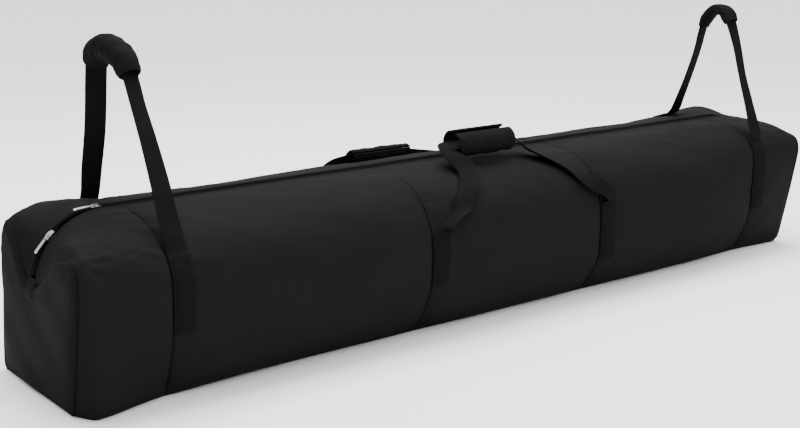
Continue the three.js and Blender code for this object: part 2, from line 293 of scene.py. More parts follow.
def tube_faces(rows, columns, flip=False):
    """The faces of a tube of closed rings, with a cap at each end."""
    i, j = np.meshgrid(np.arange(rows - 1), np.arange(columns), indexing="ij")
    k = (j + 1) % columns
    quads = np.stack([i * columns + j, i * columns + k, (i + 1) * columns + k, (i + 1) * columns + j], -1)
    quads = quads.reshape(-1, 4)
    start = list(range(columns))
    end = [(rows - 1) * columns + n for n in start]
    if flip:
        return quads[:, ::-1].tolist() + [start, end[::-1]]
    return quads.tolist() + [start[::-1], end]


def solid_sheet(name, points, uvs, thickness, finish, flip):
    """A curved sheet in metres, thickened inwards from its outer face by a thickness in millimetres."""
    rows, columns = points.shape[:2]
    faces = grid_faces(rows, columns, flip=flip)
    made = new_object(name, points.reshape(-1, 3), faces, uvs.reshape(-1, 2), finish)
    shell = made.modifiers.new("thickness", "SOLIDIFY")
    shell.thickness = thickness * MM
    shell.offset = -1.0
    shell.use_even_offset = False
    return made


def normals_of(points):
    du = np.gradient(points, axis=0)
    dv = np.gradient(points, axis=1)
    n = np.cross(du, dv)
    return n / np.maximum(np.linalg.norm(n, axis=-1, keepdims=True), 1e-9)


def unit(vectors):
    return vectors / np.linalg.norm(vectors, axis=-1, keepdims=True)


def run_along(points):
    """The distance along a row of points, at each of them."""
    return np.concatenate([[0], np.cumsum(np.linalg.norm(np.diff(points, axis=0), axis=1))])


def resample(points, count):
    """Evenly spaced places along a row of points."""
    run = run_along(points)
    even = np.linspace(0, run[-1], count)
    return np.stack([np.interp(even, run, points[:, k]) for k in range(3)], -1)


WAVES = 14


def ripple(u, v, seed, wavelength):
    """Smooth random waves of about the given (u, v) wavelengths, mostly between -1 and 1."""
    rng = np.random.default_rng(seed)
    total = np.zeros(np.broadcast(u, v).shape)
    for _ in range(WAVES):
        ku, kv = rng.normal(0, 1, 2) * 2 * math.pi / np.array(wavelength)
        total = total + np.sin(ku * u + kv * v + rng.uniform(0, 2 * math.pi))
    return total / math.sqrt(WAVES)


def ease(t):
    t = np.clip(t, 0, 1)
    return t * t * (3 - 2 * t)


# ---------------------------------------------------------------- the stuffed bag's skin

BAYS = ["left_end_bay", "left_bay", "centre_bay", "right_bay", "right_end_bay"]
SEAMS = [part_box(f"front_panel_{bay}")[0].x / MM for bay in BAYS[1:]]
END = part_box("right_end_panel")[1].x / MM
# stations along the bag for each half: half width, half base, belly height, crown height, squareness of
# the shoulder, steepness of the wall
SECTIONS = {
    -1: [
        (-950, [187, 150, 222, 276, 9.0, 1.0]),
        (-922, [197, 184, 195, 296, 4.0, 2.0]),
        (-785, [203, 155, 190, 313, 2.5, 2.2]),
        (-600, [205, 144, 165, 313, 2.5, 2.5]),
        (600, [204, 148, 160, 313, 2.5, 2.8]),
        (778, [192, 143, 215, 313, 3.0, 3.6]),
        (950, [187, 153, 236, 303, 2.8, 1.1]),
    ],
    1: [
        (-950, [159, 166, 100, 306, 9.0, 4.0]),
        (-785, [203, 152, 180, 313, 2.5, 2.2]),
        (-600, [205, 150, 165, 313, 2.5, 2.5]),
        (600, [204, 148, 160, 313, 2.5, 2.8]),
        (778, [194, 143, 205, 313, 3.0, 3.0]),
        (950, [186, 150, 220, 323, 3.4, 1.3]),
    ],
}
# how far the rear left edge leans in at full height, and the length that it takes to do so
LEAN, LEAN_RUN = 49.0, 90.0
SHOULDER_X, SHOULDER_RADIUS, ZIP_Z, ZIP_EDGE = -818.0, 132.0, 311.5, 12.0
PANEL = 2.2


def zip_height(x):
    drop = np.maximum(SHOULDER_X - x, 0)
    return ZIP_Z - SHOULDER_RADIUS + np.sqrt(np.maximum(SHOULDER_RADIUS**2 - drop**2, 0))


def roof_dip(x):
    """How far the roof sinks towards the right end."""
    return 11 * ease((x - 855) / 92)


def rolled_edge(x):
    """How far the roof's edge rolls down at either end."""
    return 8.0 * np.clip(1 - (END - 2.0 - np.abs(x)) / 20.0, 0, 1) ** 2.2


def section(x, side):
    """The section's six values at x, and how far the zip sags into it."""
    stations = SECTIONS[side]
    places = [p for p, _ in stations]
    k = min(max(int(np.searchsorted(places, x)) - 1, 0), len(places) - 2)
    t = (x - places[k]) / (places[k + 1] - places[k])
    t = ease(t) * 0.7 + np.clip(t, 0, 1) * 0.3
    a, b = np.array(stations[k][1], float), np.array(stations[k + 1][1], float)
    values = a + (b - a) * t
    edge = zip_height(x) + 1.5 - roof_dip(x)
    return values, values[3] - edge


def outline(x, side, count):
    """Points from the base seam up the wall and over to the zip, evenly spaced, as (y, z)."""
    (wide, base, belly, crown, round_, steep), sag = section(x, side)
    # the base narrows at the very ends, and the wall tucks in at the floor
    base -= 12 * np.clip(1 - (END - np.abs(x)) / 24, 0, 1) ** 2
    z = np.linspace(0, belly, 60, endpoint=False)
    y = wide - (wide - base) * (1 - z / belly) ** steep
    y -= 9 * np.exp(-z / 7.0)
    k = ZIP_EDGE / wide
    last = math.atan2((1 - k**round_) ** (1 / round_), k)
    angle = np.linspace(0, last, 140)
    r = (np.cos(angle) ** round_ + np.sin(angle) ** round_) ** (-1 / round_)
    y_top = wide * np.cos(angle) * r
    spread = 70.0 if x < 0 else 62.0
    dip = sag * np.exp(-(((y_top - ZIP_EDGE) / spread) ** 2))
    z_top = belly + (crown - belly) * np.sin(angle) * r - dip
    ys, zs = np.concatenate([y, y_top]), np.concatenate([z, z_top])
    run = np.concatenate([[0], np.cumsum(np.hypot(np.diff(ys), np.diff(zs)))])
    if side > 0:
        ys = ys - LEAN * ease((LEAN_RUN - END - x) / LEAN_RUN) * (zs / crown) * np.clip(ys / wide, 0, 1)
    even = np.linspace(0, run[-1], count)
    return np.interp(even, run, ys), np.interp(even, run, zs), even


def pinch(x):
    """How far each cross seam draws the skin in, by distance from it."""
    total = np.zeros_like(x)
    for seam in SEAMS:
        d = x - seam
        total += 6.5 * np.exp(-np.abs(d) / 9.0) + 4.5 * np.exp(-((d / 60.0) ** 2))
    return total


def puckers(x, s, side):
    """Short folds that run away from each cross seam, fading with distance."""
    total = np.zeros_like(x)
    for k, seam in enumerate(SEAMS):
        d = x - seam
        reach = 34.0 if k in (1, 2) else 46.0
        fade = np.exp(-np.abs(d) / reach) * (1 - np.exp(-np.abs(d) / 5.0))
        lean = 0.25 * d
        total += fade * 1.3 * ripple(s + lean, d * 0.2, 11 + k + 5 * side, (30, 150))
        total += fade * 0.55 * ripple(s - lean, d, 91 + k + 5 * side, (17, 40))
    return total


def corner_folds(x, s, side, length):
    """Crumples that gather at the ends' top corners and fade away from them."""
    total = np.zeros_like(x)
    for corner, share, size in ((-END, 0.60, 2.6), (END, 0.66, 1.6)):
        along, down = np.abs(x - corner), s - share * length
        near = np.exp(-along / 75.0 - (down / 42.0) ** 2)
        spokes = np.sin(7.0 * np.arctan2(down, along + 12.0) + 1.3 * ripple(x, s, 31 + side, (70, 50)))
        total += near * size * (0.8 * spokes + 0.9 * ripple(x, s, 37 + side, (48, 26)))
        total += size * 0.35 * np.exp(-along / 130.0 - (down / 60.0) ** 2) * ripple(x, s, 39 + side, (30, 22))
    return total


def skin(side):
    """The whole front (-1) or rear (+1) half of the skin, its cloth coordinates and its rows."""
    edges = [-(END - 2.0), *SEAMS, END - 2.0]
    rows = []
    for a, b in zip(edges[:-1], edges[1:]):
        count = int((b - a) / 4.0)
        t = np.linspace(0, 1, count + 1)
        # rows stand a little closer beside the seams
        t = t - 0.07 * np.sin(2 * math.pi * t) / (2 * math.pi)
        rows.append(a + (b - a) * t)
    # and much closer where the ends roll over
    close = END - 2.0 - np.array([1.0, 2.0, 3.2, 4.8, 6.8, 9.4, 12.4])
    xs = np.unique(np.round(np.concatenate([*rows, close, -close]), 3))
    columns = 112
    points = np.empty((len(xs), columns, 3))
    run = np.empty((len(xs), columns))
    for i, x in enumerate(xs):
        y, z, even = outline(x, side, columns)
        points[i] = np.stack([np.full(columns, x), side * y, z], -1)
        run[i] = even
    grid_x = np.repeat(xs[:, None], columns, 1)
    length = run[:, -1:]
    on_roof = ease((run / length - 0.56) / 0.2)
    push = -pinch(grid_x) * (1 - 0.75 * on_roof)
    push += puckers(grid_x, run, side)
    push += corner_folds(grid_x, run, side, length)
    push += 1.8 * ripple(grid_x, run, 3 + side, (420, 230))
    push += 0.5 * ripple(grid_x, run, 7 + side, (140, 90))
    push += 0.10 * ripple(grid_x, run, 9 + side, (46, 34))
    hem = ease(run / 26.0)
    near_zip = 0.15 + 0.85 * ease((length - run) / 60.0)
    at_end = ease((END - 4.0 - np.abs(grid_x)) / 26.0)
    push = push * (0.15 + 0.85 * hem) * near_zip * (0.1 + 0.9 * at_end)
    normal = normals_of(points) * (1 if side < 0 else -1)
    # a low bead beside the zip, and the groove of its stitching
    push += 1.3 * np.exp(-(((length - run - 4.0) / 3.5) ** 2))
    push -= 0.7 * np.exp(-(((length - run - 10.5) / 2.2) ** 2))
    points = points + normal * push[..., None]
    over_top = ease((run / length - 0.60) / 0.1)
    points[..., 2] -= rolled_edge(grid_x) * over_top
    points[..., 2] = np.maximum(points[..., 2], 0.2)
    cloth = np.stack([grid_x, run], -1) * MM
    starts = [int(np.argmin(np.abs(xs - e))) for e in edges]
    return points * MM, cloth, starts


def make_walls():
    for label, side in (("front", -1), ("rear", 1)):
        half = WALLS[side]
        for bay, a, b in zip(BAYS, half.starts[:-1], half.starts[1:]):
            points, cloth = half.points[a : b + 1], half.cloth[a : b + 1]
            panel = solid_sheet(f"{label}_wall_{bay}", points, cloth, PANEL, "shell_fabric", side < 0)
            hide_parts(f"{label}_panel_{bay}")
            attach(panel, "bag")


END_COLUMNS, END_ROWS = 84, 60
EDGE_REACH = 45.0


def turn_row(row, share=0.80):
    """Where a half outline leaves its upright side for the top edge."""
    return int(np.argmax(row[:, 2] > share * row[:, 2].max()))


def make_end(name, node, row_front, row_rear, outward, depth):
    """An end panel, filled in from the four edges that it is sewn to, and bulging a little."""
    front_turn, rear_turn = turn_row(row_front), turn_row(row_rear)
    top = resample(np.concatenate([row_front[front_turn:], row_rear[rear_turn:][::-1]]), END_COLUMNS)
    left = resample(row_front[: front_turn + 1], END_ROWS)
    right = resample(row_rear[: rear_turn + 1], END_ROWS)
    u, share = np.linspace(0, 1, END_COLUMNS), np.linspace(0, 1, END_ROWS)
    floor = left[0] * (1 - u[:, None]) + right[0] * u[:, None]
    uu, v = u[:, None, None], share[None, :, None]
    sides = left[None] * (1 - uu) + right[None] * uu
    rails = floor[:, None] * (1 - v) + top[:, None] * v
    corners = (1 - uu) * (1 - v) * left[0] + uu * (1 - v) * right[0]
    corners = corners + (1 - uu) * v * top[0] + uu * v * top[-1]
    points = sides + rails - corners
    y, z = points[..., 1] / MM, points[..., 2] / MM
    width, height = abs(floor[-1, 1] - floor[0, 1]) / MM, top[:, 2].mean() / MM

    # x follows each edge only near it, so that an edge's wobble doesn't run across the panel
    flat = (left[:, 0].mean() + right[:, 0].mean()) / 2
    a0 = ease(1 - u * width / EDGE_REACH)[:, None]
    a1 = ease(1 - (1 - u) * width / EDGE_REACH)[:, None]
    b0 = ease(1 - share * height / EDGE_REACH)[None]
    b1 = ease(1 - (1 - share) * height / EDGE_REACH)[None]
    lx, rx, fx, tx = [edge[:, 0] - flat for edge in (left, right, floor, top)]
    edges = a0 * lx[None] + a1 * rx[None] + b0 * fx[:, None] + b1 * tx[:, None]
    edges -= a0 * b0 * lx[0] + a1 * b0 * rx[0] + a0 * b1 * tx[0] + a1 * b1 * tx[-1]
    points[..., 0] = flat + edges

    u2, v2 = np.meshgrid(u, share, indexing="ij")
    rise = (1 - np.exp(-u2 * width / 14.0)) * (1 - np.exp(-(1 - u2) * width / 14.0))
    rise *= (1 - np.exp(-v2 * height / 16.0)) * (1 - np.exp(-(1 - v2) * height / 8.0))
    wobble = 1.5 * ripple(y, z, 51, (260, 190)) + 0.22 * ripple(y, z, 53, (110, 80))
    beside = np.exp(-((u2 / 0.16) ** 2)) + np.exp(-(((1 - u2) / 0.16) ** 2))
    corner = np.exp(-(((v2 - 0.97) / 0.14) ** 2)) * beside
    bulge = rise * (depth + wobble + corner * 2.2 * ripple(y + z * 0.5, z, 57, (34, 50)))
    points[..., 0] += outward * bulge * MM
    panel = solid_sheet(name, points, points[..., 1:], PANEL, "shell_fabric", flip=outward > 0)
    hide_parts(node)
    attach(panel, "bag")


def make_base():
    front, rear = WALLS[-1].points[:, 0], WALLS[1].points[:, 0]
    columns = 24
    t = np.linspace(0, 1, columns)[None, :, None]
    points = front[:, None] * (1 - t) + rear[:, None] * t
    points[..., 2] = 0.0004
    base = solid_sheet("base_sheet", points, points[..., :2], PANEL, "shell_fabric", flip=False)
    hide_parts("base_panel")
    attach(base, "bag")


# ---------------------------------------------------------------- straps and stitches


def mix(p, q, start, end, t):
    """From p at start to q at end."""
    return p * (end - t) / (end - start) + q * (t - start) / (end - start)


def curve(points, step):
    """A smooth curve through the points, as places about step apart and the share of the way at each."""
    p = np.asarray(points, float)
    p = np.concatenate([[2 * p[0] - p[1]], p, [2 * p[-1] - p[-2]]])
    knots = np.concatenate([[0], np.cumsum(np.sqrt(np.linalg.norm(np.diff(p, axis=0), axis=1)))])
    made, keys = [], []
    for i in range(1, len(p) - 2):
        t0, t1, t2, t3 = knots[i - 1 : i + 3]
        count = max(2, int(np.linalg.norm(p[i + 1] - p[i]) / step))
        for t in np.linspace(t1, t2, count, endpoint=False):
            a1 = mix(p[i - 1], p[i], t0, t1, t)
            a2 = mix(p[i], p[i + 1], t1, t2, t)
            a3 = mix(p[i + 1], p[i + 2], t2, t3, t)
            b1, b2 = mix(a1, a2, t0, t2, t), mix(a2, a3, t1, t3, t)
            made.append(mix(b1, b2, t1, t2, t))
            keys.append(i - 1 + (t - t1) / (t2 - t1))
    made.append(p[-2])
    keys.append(len(p) - 3)
    return np.array(made), np.array(keys)


WEB_WIDTH, WEB_THICK = 38.0, 2.2
# how far the middle of sewn webbing, and the thread on it, stand off the wall, and the rows' spacing
WEB_LIFT, BOX_LIFT, SEWN_STEP, STRAP_STEP = 2.2, 3.55, 6.0, 3.5
# places across a strap, its middle one, and how thick the strap is at each
ACROSS = np.array([-1.0, -0.93, -0.62, -0.3, 0.0, 0.3, 0.62, 0.93, 1.0])
MIDDLE = 4
EDGE = np.array([0.35, 1.0, 1.0, 1.0, 1.0, 1.0, 1.0, 1.0, 0.35])


def ribbon(name, grid, thick, finish):
    """A closed strap whose middle surface is grid (along, across), in millimetres."""
    half = normals_of(grid) * (thick / 2 * EDGE[None, :, None])
    ring = np.concatenate([grid + half, (grid - half)[:, ::-1]], 1)
    rows, columns = ring.shape[:2]
    along = run_along(grid[:, MIDDLE])
    u = np.concatenate([ACROSS, ACROSS[::-1]]) * WEB_WIDTH / 2
    cloth = np.stack(np.broadcast_arrays(u[None, :], along[:, None]), -1) * MM
    faces = tube_faces(rows, columns, flip=True)
    return new_object(name, ring.reshape(-1, 3) * MM, faces, cloth.reshape(-1, 2), finish)


def spread_across(centres, across, twist=None):
    """The strap's middle surface from its centre line and the direction across it."""
    tangent = unit(np.gradient(centres, axis=0))
    across = unit(across - tangent * (across * tangent).sum(1, keepdims=True))
    if twist is not None:
        angle = np.radians(twist)[:, None]
        across = across * np.cos(angle) + np.cross(tangent, across) * np.sin(angle)
    return centres[:, None] + across[:, None] * (ACROSS * WEB_WIDTH / 2)[None, :, None]


def between(values, row, column):
    """A grid's values at fractional places, mixed from the four nearest."""
    i = np.minimum(row.astype(int), values.shape[0] - 2)
    j = np.minimum(column.astype(int), values.shape[1] - 2)
    f, g = (row - i)[..., None], (column - j)[..., None]
    low = values[i, j] * (1 - g) + values[i, j + 1] * g
    high = values[i + 1, j] * (1 - g) + values[i + 1, j + 1] * g
    return low * (1 - f) + high * f


class Half:
    """One half of the finished skin, for laying webbing, thread and tape on it."""

    def __init__(self, side):
        self.side = side
        points, self.cloth, self.starts = skin(side)
        self.points = points
        self.xs = self.cloth[:, 0, 0] / MM
        self.normal = normals_of(points) * (1 if side < 0 else -1)

    def at(self, x, s, lift):
        """The point on the skin at x and s along its section, raised by lift, in millimetres."""
        row = np.clip(np.interp(x, self.xs, np.arange(len(self.xs))), 0, len(self.xs) - 1.001)
        columns = self.points.shape[1]
        length = self.cloth[row.astype(int), -1, 1] / MM
        column = np.clip(s / length * (columns - 1), 0, columns - 1.001)
        return between(self.points, row, column) / MM + between(self.normal, row, column) * lift

    def run_at(self, x, z):
        """How far along the section the wall first reaches height z."""
        _, heights, run = outline(x, self.side, 400)
        return float(run[int(np.argmax(heights >= z))])


def sewn_grid(half, centre, low, high):
    """Webbing laid flat on the wall from height low to high."""
    s0, s1 = half.run_at(centre, low), half.run_at(centre, high)
    s = np.linspace(s0, s1, max(4, int((s1 - s0) / SEWN_STEP)))
    xx, ss = np.meshgrid(centre + ACROSS * WEB_WIDTH / 2, s)
    grid = half.at(xx, ss, WEB_LIFT)
    straight = grid[:, :1] + (grid[:, -1:] - grid[:, :1]) * ((ACROSS + 1) / 2)[None, :, None]
    out = np.array([0, half.side, 0.0])
    gap = ((grid - straight) @ out)[..., None]
    return straight + out * np.maximum(gap, gap * 0.3)


def joined_grid(parts):
    """One strap through several stretches of middle surface, evenly resampled."""
    knots = np.concatenate(parts)
    columns = [curve(knots[:, k], STRAP_STEP) for k in range(knots.shape[1])]
    keys = columns[MIDDLE][1]
    return np.stack([np.stack([np.interp(keys, k, c[:, a]) for a in range(3)], -1) for c, k in columns], 1)


STITCH, STITCH_GAP, THREAD = 3.2, 1.4, 0.42
# a dash of thread: corners in half lengths along it and thread radii across it, and its faces
DASH = [(-1, 0, 0), (-0.6, 0.7, 0.6), (-0.6, -0.7, 0.6), (0.6, 0.7, 0.6)]
DASH += [(0.6, -0.7, 0.6), (1, 0, 0), (-0.6, 0, -0.8), (0.6, 0, -0.8)]
DASH_FACES = [(0, 2, 1), (1, 2, 4, 3), (3, 4, 5), (0, 1, 6), (0, 6, 2)]
DASH_FACES += [(1, 3, 7, 6), (2, 6, 7, 4), (3, 5, 7), (4, 7, 5)]
BOX_SIDES = ((0, 1), (1, 2), (2, 3), (3, 0), (0, 2), (1, 3))
EDGE_COLUMNS = (1, 7)


def stitches(name, lines, body):
    """Rows of thread: short rounded dashes along each line of points, in millimetres."""
    vertices, faces = [], []
    for line, out in lines:
        run = run_along(line)
        for s in np.arange(STITCH_GAP, run[-1] - STITCH, STITCH + STITCH_GAP):
            a = np.array([np.interp(s, run, line[:, k]) for k in range(3)])
            b = np.array([np.interp(s + STITCH, run, line[:, k]) for k in range(3)])
            along = (b - a) / max(np.linalg.norm(b - a), 1e-9)
            side = np.cross(out, along)
            side /= max(np.linalg.norm(side), 1e-9)
            up = np.cross(along, side)
            start = len(vertices)
            for u, v, w in DASH:
                corner = along * u * STITCH / 2 + side * v * THREAD + up * w * THREAD
                vertices.append(((a + b) / 2 + corner) * MM)
            faces += [tuple(start + i for i in f) for f in DASH_FACES]
    made = new_object(name, vertices, faces, None, "thread")
    if body:
        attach(made, body)
    return made


def strap_box(grid, heights):
    """A stitched, crossed box on a strap's outer face, over the front stretch between two heights."""
    top = int(np.argmax(grid[:, MIDDLE, 2]))
    rows = [int(np.argmin(np.abs(grid[:top, MIDDLE, 2] - h))) for h in heights]
    normal = normals_of(grid)
    first, last = EDGE_COLUMNS
    corners = [(rows[0], first), (rows[0], last), (rows[1], last), (rows[1], first)]
    facing = math.copysign(1.0, -normal[rows[0], MIDDLE, 1])
    t = np.linspace(0, 1, 16)
    lines = []
    for a, b in BOX_SIDES:
        i = corners[a][0] + (corners[b][0] - corners[a][0]) * t
        j = corners[a][1] + (corners[b][1] - corners[a][1]) * t
        out = normal[np.minimum(i.astype(int), len(grid) - 2), j.astype(int)] * facing
        lines.append((between(grid, i, j) + out * 1.35, out[8]))
    return lines


def edge_rows(grid):
    """A row of thread along each edge of a strap, on its outer face."""
    normal = normals_of(grid)
    row = len(grid) // 6
    facing = math.copysign(1.0, normal[row, MIDDLE, 1] * grid[row, MIDDLE, 1])
    return [(grid[:, j] + normal[:, j] * facing * 1.2, normal[row, j] * facing) for j in EDGE_COLUMNS]


def box_stitch(half, centre, low, high):
    """A stitched rectangle with a cross in it, over webbing on the wall."""
    s0, s1 = half.run_at(centre, low), half.run_at(centre, high)
    inset = WEB_WIDTH / 2 - 3.5
    corners = [(-inset, s0), (inset, s0), (inset, s1), (-inset, s1)]
    t = np.linspace(0, 1, 14)
    lines = []
    for a, b in BOX_SIDES:
        x = centre + corners[a][0] + (corners[b][0] - corners[a][0]) * t
        s = corners[a][1] + (corners[b][1] - corners[a][1]) * t
        lines.append((half.at(x, s, BOX_LIFT), np.array([0, half.side, 0.3])))
    return lines


# ---------------------------------------------------------------- carry loops and handles

# each loop's free webbing and sleeve run over the bag as (y, z), at x; heights give the sewn stretches
LOOPS = {
    "left": {
        "x": -766.0,
        "free": [
            [-167, 284], [-154, 308], [-128, 364], [-90, 438], [-59, 493], [-38, 534], [-18, 562], [20, 578],
            [62, 580], [92, 565], [100, 535], [117, 432], [143, 345], [152, 312], [163, 288],
        ],
        "twist": [0, 0, 6, 16, 22, 20, 10, 0, 4, 10, 20, 22, 10, 0, 0],
        "box": (296, 334),
        "sewn": (121, 262),
        "rear_sewn": (110, 268),
        "grip": [[-34, 541], [-18, 562], [20, 578], [62, 580], [90, 567], [99, 548]],
        "radius": 26.0,
        "flatness": 0.95,
        "swell": (0.98, 0.10),
        "flap_edge": 5.2,
        "axis": [(-0.766, 0.0, 0.290), (-0.766, 0.0, 0.335)],
    },
    "right": {
        "x": 797.0,
        "free": [
            [-169, 300], [-162, 318], [-146, 361], [-120, 431], [-100, 501], [-80, 552], [-62, 578],
            [-36, 584], [-12, 566], [2, 540], [19, 479], [46, 402], [66, 352], [79, 324], [92, 312.5],
        ],
        "twist": [0, 0, 6, 12, 8, 0, 0, 0, -4, -8, -12, -10, -5, 0, 0],
        "box": (312, 350),
        "sewn": (112, 280),
        "rear_sewn": (105, 302),
        "grip": [[-79, 554], [-62, 578], [-36, 584], [-12, 566], [3, 538]],
        "radius": 23.0,
        "flatness": 0.52,
        "swell": (1.12, -0.26),
        "flap_edge": 3.6,
        "axis": [(0.797, 0.0, 0.305), (0.797, -0.004, 0.350)],
    },
}

HANDLE_FEET = -210.5, 259.5
HANDLES = {
    "front": {
        "sewn": [(104, 205), (78, 205)],
        "strap": [
            [-205, -207, 222], [-184, -204, 236], [-144, -189, 258], [-110, -164, 284], [-84, -122, 311],
            [-92, -86, 334], [-86, -64, 345], [-66, -62, 346], [10, -62, 346], [86, -62, 346],
            [106, -62, 343], [118, -82, 324], [140, -116, 306], [172, -154, 284], [208, -188, 256],
            [240, -204, 240], [256, -207, 226],
        ],
        # the direction across the strap near some of its points, and how many points that reaches
        "turned": [
            (0.6, (0.75, -0.45, 0.45), 1.2),
            (3.6, (0.85, -0.5, 0.1), 1.3),
            (11.7, (0.6, 0.77, -0.2), 1.9),
        ],
    },
    "rear": {
        "sewn": [(106, 205), (80, 205)],
        "strap": [
            [-211.5, 204.5, 236], [-209, 200, 262], [-196, 186, 283], [-176, 176, 290], [-110, 176, 291],
            [-40, 176, 290], [-10, 178, 286], [60, 190, 272], [150, 204, 254], [212, 207, 248],
            [244, 208, 240], [257, 208, 228],
        ],
    },
}


def make_loop(label):
    loop = LOOPS[label]
    x = loop["x"]
    centres, keys = curve([[x, y, z] for y, z in loop["free"]], 7.0)
    twist = np.interp(keys, np.arange(len(loop["twist"])), loop["twist"])
    centres[:, 1] += 0.6 * np.sin(keys * 1.7)
    free = spread_across(centres, np.tile([-1.0, 0, 0], (len(centres), 1)), twist)
    front = sewn_grid(WALLS[-1], x, *loop["sewn"])[:, ::-1]
    rear = sewn_grid(WALLS[1], x, *loop["rear_sewn"])[::-1, ::-1]
    grid = joined_grid([front, free, rear])
    strap = ribbon(f"{label}_loop_webbing", grid, WEB_THICK, "webbing")
    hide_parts(f"{label}_loop_strap", f"{label}_front_anchor", f"{label}_rear_anchor")
    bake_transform(strap)
    thread = stitches(f"{label}_loop_stitches", strap_box(grid, loop["box"]) + edge_rows(grid), None)
    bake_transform(thread)


def make_handle_strap(label):
    handle = HANDLES[label]
    side = -1 if label == "front" else 1
    centres, keys = curve(handle["strap"], 7.0)
    # the strap's face looks away from a line through the bag's middle
    facing = (centres - [0, 0, 160]) * [0, 1, 1.2]
    across = unit(np.cross(facing, np.gradient(centres, axis=0)))
    for key, way, reach in handle.get("turned", ()):
        way = np.array(way) / np.linalg.norm(way)
        share = np.exp(-(((keys - key) / reach) ** 4))[:, None]
        way = way[None] * np.sign(across @ way)[:, None]
        across = across * (1 - share) + way * share
    free = spread_across(centres, across)
    left, right = HANDLE_FEET
    start = sewn_grid(WALLS[side], left, *handle["sewn"][0])
    finish = sewn_grid(WALLS[side], right, *handle["sewn"][1])[::-1]
    if np.dot(free[0, -1] - free[0, 0], start[-1, -1] - start[-1, 0]) < 0:
        start = start[:, ::-1]
    if np.dot(free[-1, -1] - free[-1, 0], finish[0, -1] - finish[0, 0]) < 0:
        finish = finish[:, ::-1]
    grid = joined_grid([start, free, finish])
    strap = ribbon(f"{label}_handle_webbing", grid, WEB_THICK, "webbing")
    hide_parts(f"{label}_handle_strap", f"{label}_handle_left_anchor", f"{label}_handle_right_anchor")
    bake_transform(strap)
    rows = edge_rows(grid)
    if label == "front":
        rows += strap_box(grid, (258, 291))
    thread = stitches(f"{label}_handle_stitches", rows, None)
    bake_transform(thread)


# ---------------------------------------------------------------- zip

ZIP_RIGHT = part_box("front_zip_tape")[1].x / MM
ZIP_END_ANGLE = 76.0
# each tape's inner and outer edge; the slit's ends, in degrees round the bend, and its half width
TAPE_INNER, TAPE_OUTER = 4.4, 16.5
OPEN_FROM, OPEN_TO, OPEN_HALF = 8.7, 39.7, 5.5


def zip_path(step):
    """Places along the zip from its right end: x, z, the way out of the bag and how far it is open."""
    straight = np.arange(ZIP_RIGHT, SHOULDER_X, -step)
    angle = np.arange(0, ZIP_END_ANGLE, math.degrees(step / SHOULDER_RADIUS))
    a = np.radians(angle)
    x = np.concatenate([straight, SHOULDER_X - SHOULDER_RADIUS * np.sin(a)])
    z = np.concatenate([straight * 0 + ZIP_Z, ZIP_Z - SHOULDER_RADIUS * (1 - np.cos(a))])
    bend_out = np.stack([-np.sin(a), a * 0, np.cos(a)], -1)
    out = np.concatenate([np.tile([0.0, 0, 1], (len(straight), 1)), bend_out])
    share = np.clip((angle - OPEN_FROM) / (OPEN_TO - OPEN_FROM), 0, 1)
    gap = np.concatenate([straight * 0, OPEN_HALF * np.minimum(1, 1.6 * np.sin(math.pi * share))])
    return x, z, out, gap


def make_zip():
    for label, side in (("front", -1), ("rear", 1)):
        x, z, out, gap = zip_path(6.0)
        inner = TAPE_INNER + gap[:, None]
        y = side * (inner + (ACROSS + 1) / 2 * (TAPE_OUTER - inner))
        if side < 0:
            y = y[:, ::-1]
        middle = np.stack(np.broadcast_arrays(x[:, None], y, z[:, None]), -1) - out[:, None] * 1.3
        tape = ribbon(f"{label}_tape", middle, 1.0, "zip_tape")
        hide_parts(f"{label}_zip_tape")
        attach(tape, "bag")
        make_teeth(label, side)


def make_teeth(label, side):
    """A row of coil loops, each a small block that narrows towards its top."""
    x, z, out, gap = zip_path(3.0)
    along = np.stack([out[:, 2], out[:, 1] * 0, -out[:, 0]], -1)
    across = np.array([0, float(side), 0])
    corner = np.array([(i, j, k) for k in (-1, 1) for j in (0, 1) for i in (-1, 1)], float)
    long = corner[:, 0] * np.where(corner[:, 2] > 0, 0.7, 1.1)
    wide = 0.7 + corner[:, 1] * np.where(corner[:, 2] > 0, 3.2, 4.0)
    centre = np.stack([x, x * 0, z], -1)
    vertices = centre[:, None] + along[:, None] * long[None, :, None]
    vertices = vertices + out[:, None] * (corner[:, 2] * 1.5)[None, :, None]
    vertices = vertices + across * (wide[None, :] + gap[:, None])[..., None]
    block = np.array([(0, 1, 3, 2), (4, 6, 7, 5), (0, 4, 5, 1), (2, 3, 7, 6), (0, 2, 6, 4), (1, 5, 7, 3)])
    if side > 0:
        block = block[:, ::-1]
    faces = (np.arange(len(x))[:, None, None] * 8 + block[None]).reshape(-1, 4).tolist()
    vertices = vertices.reshape(-1, 3) * MM
    teeth = new_object(f"{label}_teeth", vertices, faces, None, "zip_teeth", smooth=False)
    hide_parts(f"{label}_zip_teeth")
    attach(teeth, "bag")


def make_zip_tab():
    """The stub of cloth that closes the roof between the zip's end and the right end panel."""
    x = np.linspace(ZIP_RIGHT + 0.5, END - 3.0, 30)
    y = np.linspace(-16, 16, 13)
    z = ZIP_Z + 2.0 - roof_dip(x) - rolled_edge(x)
    points = np.stack(np.broadcast_arrays(x[:, None], y[None], z[:, None]), -1) * MM
    tab = solid_sheet("zip_end_cloth", points, points[..., :2], 1.6, "shell_fabric", flip=True)
    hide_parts("zip_end_tab")
    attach(tab, "bag")


